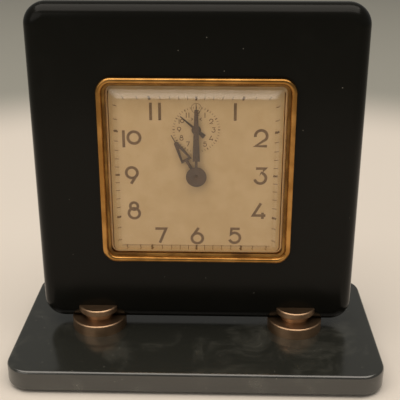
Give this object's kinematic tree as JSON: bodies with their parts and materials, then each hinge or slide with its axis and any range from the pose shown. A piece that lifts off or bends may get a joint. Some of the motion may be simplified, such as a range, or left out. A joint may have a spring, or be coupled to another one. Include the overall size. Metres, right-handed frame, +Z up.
{
  "type": "desk alarm clock",
  "caption": "Square-dial wind-up alarm clock: a thick rounded black slab on two turned copper feet over a rectangular black base, with its movement in a can behind.",
  "frame": {"origin": "centre of the base's footprint, on the surface the clock stands on", "axes": "+X to the right seen from the front, +Y from the dial to the back, +Z up"},
  "size_m": [0.138, 0.076, 0.134],
  "materials": {
    "black_gloss": "gloss",
    "felt": "matt felt",
    "copper": "satin copper plate",
    "bezel_brass": "polished",
    "crystal": "clear",
    "dial_paint": "matt cream paint",
    "hand_paint": "satin brown paint",
    "movement_brass": "brushed",
    "knob_brass": "satin",
    "bright_steel": "brushed",
    "spring_steel": "blued",
    "can_steel": "plated",
    "cover_brass": "lacquered"
  },
  "bodies": {
    "stand": {"base_plate": "black_gloss", "base_felt": "felt", "foot_left": "copper", "foot_right": "copper", "base_screws": "bright_steel", "slab_inserts": "knob_brass", "front_slab": "black_gloss", "bezel": "bezel_brass", "crystal": "crystal", "dial_spacer": "knob_brass", "dial": "dial_paint", "retaining_frame": "can_steel", "clamp_screws": "bright_steel", "case_can": "can_steel", "back_cover": "cover_brass", "cover_screws": "bright_steel", "front_plate": "movement_brass", "back_plate": "movement_brass", "pillars": "movement_brass", "plate_nuts": "bright_steel", "minute_post": "bright_steel", "time_mainspring": "spring_steel", "hairspring": "spring_steel", "alarm_mainspring": "spring_steel"},
    "minute_set": {"centre_arbor": "bright_steel", "clutch_spring": "bright_steel", "cannon_pinion": "movement_brass", "minute_hand": "hand_paint", "time_set_knob": "knob_brass"},
    "minute_wheel_body": {"minute_wheel": "movement_brass"},
    "hour_set": {"hour_wheel": "movement_brass", "hour_hand": "hand_paint"},
    "alarm_wheel_body": {"alarm_wheel": "movement_brass"},
    "alarm_setting": {"alarm_arbor": "bright_steel", "alarm_hand": "hand_paint", "alarm_set_knob": "knob_brass"},
    "centre_wheel_body": {"centre_wheel": "movement_brass"},
    "third_wheel_body": {"third_wheel": "movement_brass"},
    "fourth_wheel_body": {"fourth_wheel": "movement_brass"},
    "escape_wheel_body": {"escape_wheel": "movement_brass"},
    "time_great_body": {"time_great_wheel": "movement_brass"},
    "time_click_body": {"time_click": "bright_steel"},
    "time_winding": {"time_winding_arbor": "bright_steel", "time_winding_key": "knob_brass"},
    "alarm_great_body": {"alarm_great_wheel": "movement_brass"},
    "alarm_click_body": {"alarm_click": "bright_steel"},
    "alarm_winding": {"alarm_winding_arbor": "bright_steel", "alarm_winding_key": "knob_brass"},
    "bell_wheel_body": {"bell_wheel": "movement_brass"},
    "hammer_body": {"hammer": "bright_steel"},
    "pallet_body": {"pallet_lever": "bright_steel"},
    "balance_body": {"balance_wheel": "movement_brass"},
    "regulator_body": {"regulator": "bright_steel"},
    "stop_body": {"stop_plunger": "knob_brass"}
  },
  "joints": [
    {"name": "minute_turn", "type": "hinge", "parent": "stand", "child": "minute_set", "pos_m": [0, 0, 0.0723], "axis": [0, 1, 0], "continuous": true},
    {"name": "minute_wheel_turn", "type": "hinge", "parent": "stand", "child": "minute_wheel_body", "pos_m": [-0.00624, 0, 0.06339], "axis": [0, 1, 0], "continuous": true},
    {"name": "hour_turn", "type": "hinge", "parent": "stand", "child": "hour_set", "pos_m": [0, 0, 0.0723], "axis": [0, 1, 0], "continuous": true},
    {"name": "alarm_wheel_turn", "type": "hinge", "parent": "stand", "child": "alarm_wheel_body", "pos_m": [0, 0, 0.0897], "axis": [0, 1, 0], "continuous": true},
    {"name": "alarm_set_turn", "type": "hinge", "parent": "stand", "child": "alarm_setting", "pos_m": [0, 0, 0.0897], "axis": [0, 1, 0], "continuous": true},
    {"name": "fourth_turn", "type": "hinge", "parent": "stand", "child": "fourth_wheel_body", "pos_m": [-0.01467, 0, 0.08802], "axis": [0, 1, 0], "continuous": true},
    {"name": "third_turn", "type": "hinge", "parent": "stand", "child": "third_wheel_body", "pos_m": [-0.00963, 0, 0.07929], "axis": [0, 1, 0], "continuous": true},
    {"name": "centre_turn", "type": "hinge", "parent": "stand", "child": "centre_wheel_body", "pos_m": [0, 0, 0.0723], "axis": [0, 1, 0], "continuous": true},
    {"name": "escape_turn", "type": "hinge", "parent": "stand", "child": "escape_wheel_body", "pos_m": [-0.00757, 0, 0.09212], "axis": [0, 1, 0], "continuous": true},
    {"name": "time_great_turn", "type": "hinge", "parent": "stand", "child": "time_great_body", "pos_m": [-0.0129, 0, 0.06525], "axis": [0, 1, 0], "continuous": true},
    {"name": "time_click_lift", "type": "hinge", "parent": "time_great_body", "child": "time_click_body", "pos_m": [-0.0092, 0, 0.07166], "axis": [0, 1, 0], "range_deg": [0, 10]},
    {"name": "time_wind_turn", "type": "hinge", "parent": "stand", "child": "time_winding", "pos_m": [-0.0129, 0, 0.06525], "axis": [0, 1, 0], "continuous": true},
    {"name": "alarm_great_turn", "type": "hinge", "parent": "stand", "child": "alarm_great_body", "pos_m": [0.0129, 0, 0.06525], "axis": [0, 1, 0], "continuous": true},
    {"name": "alarm_click_lift", "type": "hinge", "parent": "alarm_great_body", "child": "alarm_click_body", "pos_m": [0.0166, 0, 0.07166], "axis": [0, 1, 0], "range_deg": [0, 10]},
    {"name": "alarm_wind_turn", "type": "hinge", "parent": "stand", "child": "alarm_winding", "pos_m": [0.0129, 0, 0.06525], "axis": [0, 1, 0], "continuous": true},
    {"name": "bell_wheel_turn", "type": "hinge", "parent": "stand", "child": "bell_wheel_body", "pos_m": [0.01605, 0, 0.07701], "axis": [0, 1, 0], "continuous": true},
    {"name": "hammer_swing", "type": "hinge", "parent": "stand", "child": "hammer_body", "pos_m": [0.02049, 0, 0.0823], "axis": [0, 1, 0], "range_deg": [-4, 4]},
    {"name": "pallet_rock", "type": "hinge", "parent": "stand", "child": "pallet_body", "pos_m": [-0.00359, 0, 0.08737], "axis": [0, 1, 0], "range_deg": [-5, 5]},
    {"name": "balance_swing", "type": "hinge", "parent": "stand", "child": "balance_body", "pos_m": [0.00443, 0, 0.08328], "axis": [0, 1, 0], "range_deg": [-100, 100]},
    {"name": "regulator_shift", "type": "hinge", "parent": "stand", "child": "regulator_body", "pos_m": [0.00443, 0, 0.08328], "axis": [0, 1, 0], "range_deg": [-15, 15]},
    {"name": "stop_pull", "type": "slide", "parent": "stand", "child": "stop_body", "axis": [0, 1, 0], "range_m": [0, 0.003]}
  ],
  "couplings": [
    {"joint": "minute_wheel_turn", "follows": "minute_turn", "ratio": -0.33333},
    {"joint": "hour_turn", "follows": "minute_turn", "ratio": 0.083333},
    {"joint": "alarm_wheel_turn", "follows": "minute_turn", "ratio": -0.083333},
    {"joint": "third_turn", "follows": "fourth_turn", "ratio": -0.125},
    {"joint": "centre_turn", "follows": "fourth_turn", "ratio": 0.016667},
    {"joint": "escape_turn", "follows": "fourth_turn", "ratio": -8},
    {"joint": "time_great_turn", "follows": "fourth_turn", "ratio": -0.0027778},
    {"joint": "bell_wheel_turn", "follows": "alarm_great_turn", "ratio": -6.25}
  ]
}
